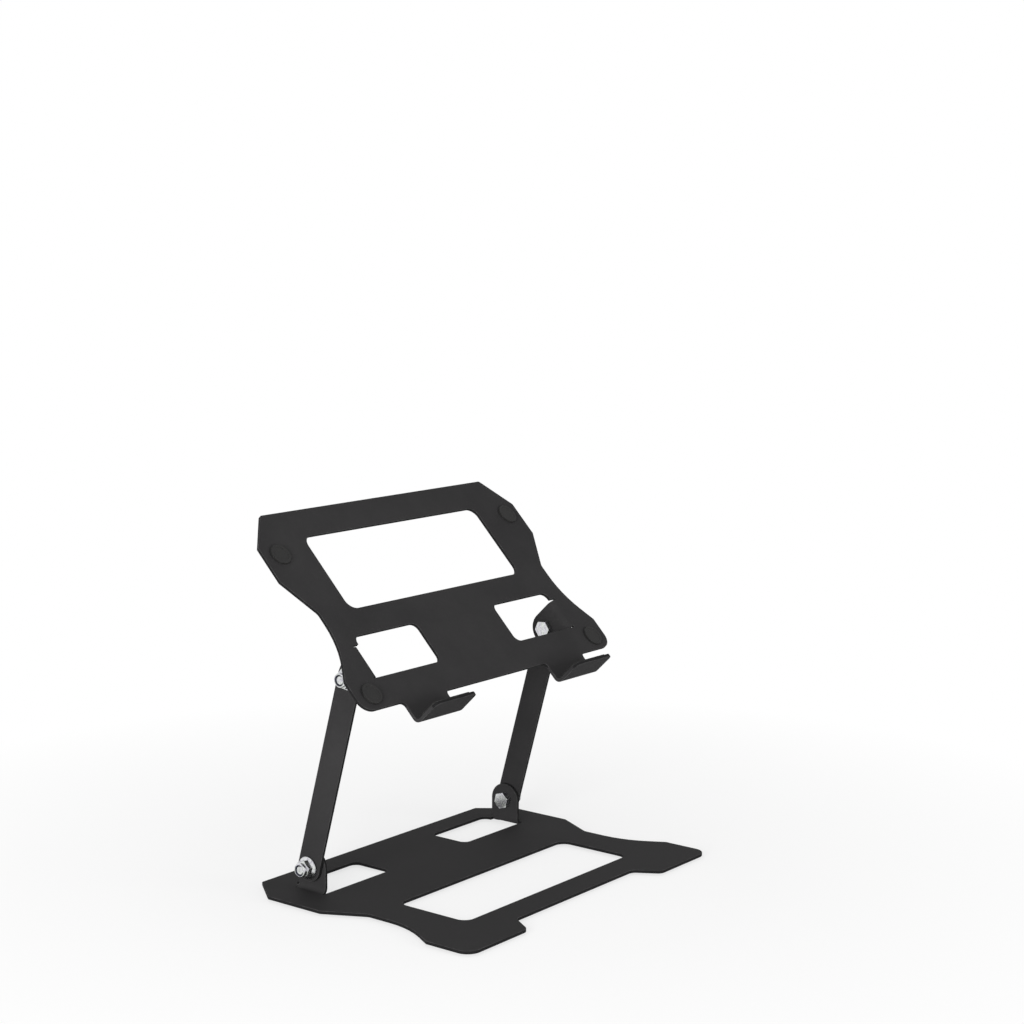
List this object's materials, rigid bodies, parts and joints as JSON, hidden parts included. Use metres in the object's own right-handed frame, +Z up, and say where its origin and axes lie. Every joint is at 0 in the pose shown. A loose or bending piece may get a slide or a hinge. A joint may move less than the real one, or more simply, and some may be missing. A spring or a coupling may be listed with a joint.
{
  "type": "folding laptop stand",
  "caption": "Folding sheet-steel laptop stand with a base plate, flat arms on friction hinges and a tilted platform with front hooks.",
  "frame": {"origin": "on the table, under the middle of the base plate", "axes": "+X to the user's right across the stand, +Y away from the user, +Z up"},
  "size_m": [0.245, 0.181, 0.2336],
  "materials": {
    "black_coat": "matte black powder coat",
    "zinc": "bright zinc plating",
    "rubber": "matte black rubber",
    "nylon": "satin black nylon"
  },
  "bodies": {
    "base": {"base_plate": "black_coat", "base_foot_front_left": "rubber", "base_foot_front_right": "rubber", "base_foot_rear_left": "rubber", "base_foot_rear_right": "rubber", "lower_left_bolt": "zinc", "lower_left_washer": "nylon", "lower_left_nut": "zinc", "lower_left_nut_ring": "nylon", "lower_right_bolt": "zinc", "lower_right_washer": "nylon", "lower_right_nut": "zinc", "lower_right_nut_ring": "nylon"},
    "arms": {"left_arm": "black_coat", "right_arm": "black_coat"},
    "upper_bolts": {"upper_left_bolt": "zinc", "upper_left_washer": "nylon", "upper_left_nut": "zinc", "upper_left_nut_ring": "nylon", "upper_right_bolt": "zinc", "upper_right_washer": "nylon", "upper_right_nut": "zinc", "upper_right_nut_ring": "nylon"},
    "platform": {"platform": "black_coat", "platform_pad_front_left": "rubber", "platform_pad_front_right": "rubber", "platform_pad_rear_left": "rubber", "platform_pad_rear_right": "rubber", "hook_liner_left": "rubber", "hook_liner_right": "rubber"}
  },
  "joints": [
    {"name": "arm_fold", "type": "hinge", "parent": "base", "child": "arms", "pos_m": [0, 0.056, 0.0182], "axis": [1, 0, 0], "range_deg": [-25, 74.5]},
    {"name": "upper_bolt_turn", "type": "hinge", "parent": "arms", "child": "upper_bolts", "pos_m": [0, 0.02179, 0.14155], "axis": [1, 0, 0], "range_deg": [-95.5, 32.5]},
    {"name": "platform_tilt", "type": "hinge", "parent": "upper_bolts", "child": "platform", "pos_m": [0, 0.02179, 0.14155], "axis": [-1, 0, 0], "range_deg": [-8, 25]}
  ],
  "couplings": [
    {"joint": "upper_bolt_turn", "follows": "arm_fold", "ratio": -1.2792}
  ]
}
